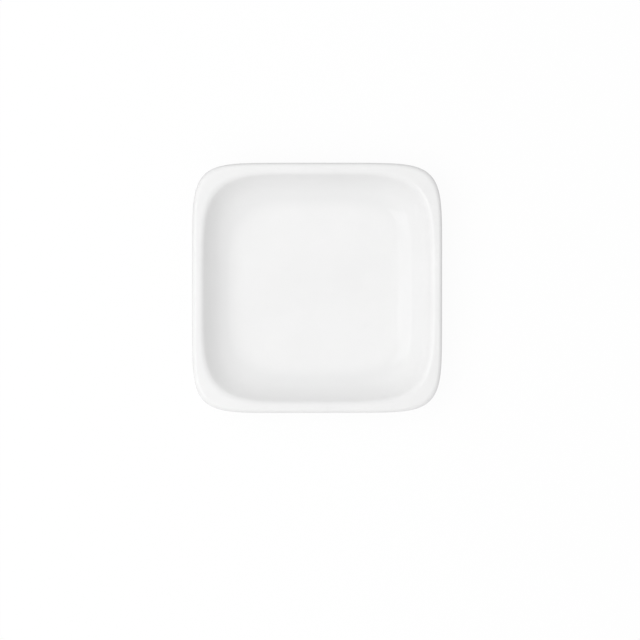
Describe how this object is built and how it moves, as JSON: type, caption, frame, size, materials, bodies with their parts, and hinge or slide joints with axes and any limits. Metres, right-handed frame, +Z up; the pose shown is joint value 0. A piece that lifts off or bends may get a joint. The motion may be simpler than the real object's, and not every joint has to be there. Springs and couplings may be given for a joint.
{
  "type": "square appetizer plate",
  "caption": "Small square white porcelain plate with rounded corners, a coved well, a narrow rolled rim and a low foot ring, for serving appetizers.",
  "frame": {"origin": "middle of the foot ring, on the table", "axes": "+Z up out of the well; X and Y square to the plate's sides, which are all alike"},
  "size_m": [0.11, 0.11, 0.0196],
  "materials": {
    "biscuit": "vitrified and matte, ground where the foot ring stands",
    "glaze": "clear gloss over a white body"
  },
  "bodies": {
    "root": {"porcelain_body": "biscuit", "glaze_coat": "glaze", "base_glaze": "glaze"}
  },
  "joints": []
}
